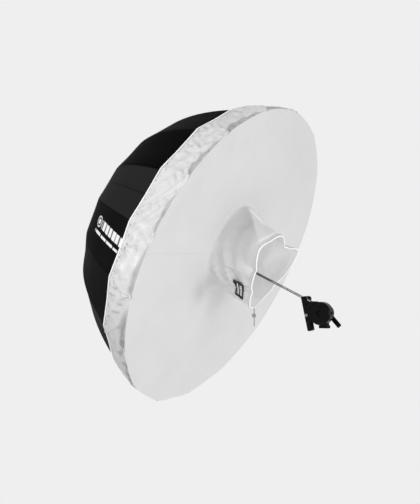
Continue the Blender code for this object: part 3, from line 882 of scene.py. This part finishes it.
turns = np.linspace(0, 2 * math.pi, TURNS, endpoint=False)
steps = np.linspace(0, 1, SLEEVE_ROWS)[:, None] + np.zeros(TURNS)
around = turns + np.zeros((SLEEVE_ROWS, 1))
outer, inner = sleeve_point(steps, around, 0.0), sleeve_point(steps, around, THIN)
facing = -ring_normals(outer)
facing[0] = A  # level with the front sheet, so that no line shows between them
count, top = SLEEVE_ROWS * TURNS, (SLEEVE_ROWS - 1) * TURNS
faces = grid_faces(SLEEVE_ROWS, TURNS, 0, True, True) + grid_faces(SLEEVE_ROWS, TURNS, count, False, True)
skins = len(faces)
for j in range(TURNS):
    n = (j + 1) % TURNS
    faces.append((j, n, count + n, count + j))
    faces.append((top + n, top + j, count + top + j, count + top + n))
slots = [0] * (skins // 2) + [1] * (skins // 2) + [0] * (len(faces) - skins)
sleeve = mesh_object(
    "sleeve", two_skins(outer, inner), faces, [white_cloth, inner_cloth], slots, sleeve_marks(steps, around)
)
set_normals(sleeve, two_skins(facing, -facing), skins)
ride_umbrella(sleeve)
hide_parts("diffuser_sleeve")
hem_line = sleeve_point(np.ones(TURNS), turns, THIN / 2)
hem = tube("sleeve_hem", hem_line, HEM_TUBE_R, piping_cloth, 10, True)
ride_umbrella(hem)
string_line = sleeve_point(np.full(TURNS, STRING_AT), turns, -CORD_R - 0.0006)
string = tube("drawstring_ring", string_line, CORD_R, string_cloth, 8, True)
ride_umbrella(string)
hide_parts("drawstring")

# Label sewn to the sleeve, with plain bars.
LABEL_FROM, LABEL_TO = math.radians(-66.0), math.radians(-24.0)
LABEL_LEAN = math.radians(8)
LABEL_OUT = (0.655, 0.835)
LABEL_FRONT, LABEL_BACK = 0.0026, 0.0019  # stand-off from the sleeve
wide, tall = np.meshgrid(np.linspace(0, 1, 57), np.linspace(0, 1, 29))
label_angles = LABEL_FROM + (LABEL_TO - LABEL_FROM) * wide - LABEL_LEAN * (tall - 0.5)
label_outs = LABEL_OUT[0] + (LABEL_OUT[1] - LABEL_OUT[0]) * tall
front, behind = (sleeve_point(label_outs, label_angles, -off) for off in (LABEL_FRONT, LABEL_BACK))
label_bars = (
    ((np.abs(tall - 0.70) < 0.10) & (wide > 0.12) & (wide < 0.80) & ((wide * 7) % 1 < 0.75))
    | ((np.abs(tall - 0.40) < 0.05) & (wide > 0.12) & (wide < 0.88))
    | ((np.abs(tall - 0.22) < 0.04) & (wide > 0.12) & (wide < 0.60))
)
facing = np.cross(np.gradient(front, axis=0), np.gradient(front, axis=1))
facing /= np.linalg.norm(facing, axis=-1, keepdims=True)
label = cloth_piece("sleeve_label", front, behind, facing, [label_cloth], {"print": label_bars * 1.0})
ride_umbrella(label)

# ---------------------------------------------------------------- CAD nodes that stay take these materials
KEPT = {
    "shaft": shaft_steel,
    "arm_screw": screw_steel,
    "tilt_washer": screw_steel,
    "runner_button": screw_steel,
    "drawstring_tail": cord_cloth,
    "cord_lock": lock_plastic,
    "cord_lock_button": lock_plastic,
}
BRACKET = ("tilt_head", "stand_base", "tilt_lever", "tilt_bolt", "umbrella_clamp_screw", "stand_lock_screw")
for name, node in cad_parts.items():
    if name in KEPT:
        mat = KEPT[name]
    elif name.startswith(("rib_", "stretcher_")):
        mat = rib_paint
    else:
        mat = bracket_paint if name in BRACKET else hub_plastic
    if node.type == "MESH":
        node.data.materials.clear()
        node.data.materials.append(mat)
tail_start = tail_top()

# ---------------------------------------------------------------- floor, light and camera
PALE = 0.863  # the backdrop
DIM = 0.50  # the side of the studio that the umbrella opens towards
FLOOR_Z, FLOOR_HALF = -0.62, 30
AZIMUTH = math.radians(61.6)
RIGHT = np.array([math.cos(AZIMUTH), -math.sin(AZIMUTH), 0])
AHEAD = np.array([math.sin(AZIMUTH), math.cos(AZIMUTH), 0])
# The camera's place, measured from CENTRE along these.
CAMERA_LEFT, CAMERA_BACK, CAMERA_UP = 0.054, 5.231, 0.018
CAMERA_LENS = 114.3
world = bpy.data.worlds.new("studio")
bpy.context.scene.world = world
world.use_nodes = True
tree = world.node_tree
towards = tree.nodes.new("ShaderNodeVectorMath")
towards.operation = "DOT_PRODUCT"
towards.inputs[1].default_value = tuple(AHEAD)
tree.links.new(tree.nodes.new("ShaderNodeTexCoord").outputs["Generated"], towards.inputs[0])
spread = add(tree, "ShaderNodeMapRange", From_Min=-0.3, From_Max=0.8, To_Min=DIM, To_Max=PALE)
spread.interpolation_type = "SMOOTHSTEP"
tree.links.new(towards.outputs["Value"], spread.inputs["Value"])
tree.links.new(spread.outputs["Result"], tree.nodes["Background"].inputs["Color"])

floor_mat = bpy.data.materials.new("floor")
floor_mat.use_nodes = True
tree = floor_mat.node_tree
tree.nodes.clear()
flat_tone = add(tree, "ShaderNodeEmission", Color=(PALE, PALE, PALE, 1))
tree.links.new(flat_tone.outputs[0], tree.nodes.new("ShaderNodeOutputMaterial").inputs["Surface"])
floor_corners = [(x * FLOOR_HALF, y * FLOOR_HALF, FLOOR_Z) for x, y in ((-1, -1), (1, -1), (1, 1), (-1, 1))]
floor = mesh_object("floor", floor_corners, [(0, 1, 2, 3)], [floor_mat])


def area_light(name, place, target, size, power):
    data = bpy.data.lights.new(name, "AREA")
    data.shape, data.size, data.energy = "DISK", size, power
    obj = bpy.data.objects.new(name, data)
    bpy.context.scene.collection.objects.link(obj)
    obj.location = place
    obj.rotation_mode = "QUATERNION"
    obj.rotation_quaternion = (Vector(target) - Vector(place)).to_track_quat("-Z", "Y")


area_light("key", (-4.2, 0.9, 2.0), tuple(CENTRE), size=1.0, power=88)
area_light("front", (-1.0, -4.0, 0.2), tuple(CENTRE), size=2.4, power=62)

camera_data = bpy.data.cameras.new("camera")
camera_data.sensor_width = 36.0
camera_data.lens = CAMERA_LENS
camera = bpy.data.objects.new("camera", camera_data)
bpy.context.scene.collection.objects.link(camera)
camera.location = tuple(CENTRE - CAMERA_LEFT * RIGHT - CAMERA_BACK * AHEAD + np.array([0, 0, CAMERA_UP]))
camera.rotation_mode = "QUATERNION"
camera.rotation_quaternion = Vector(AHEAD).to_track_quat("-Z", "Y")
camera_data.clip_end = 200
bpy.context.scene.camera = camera
bpy.context.scene.view_settings.view_transform = "Standard"
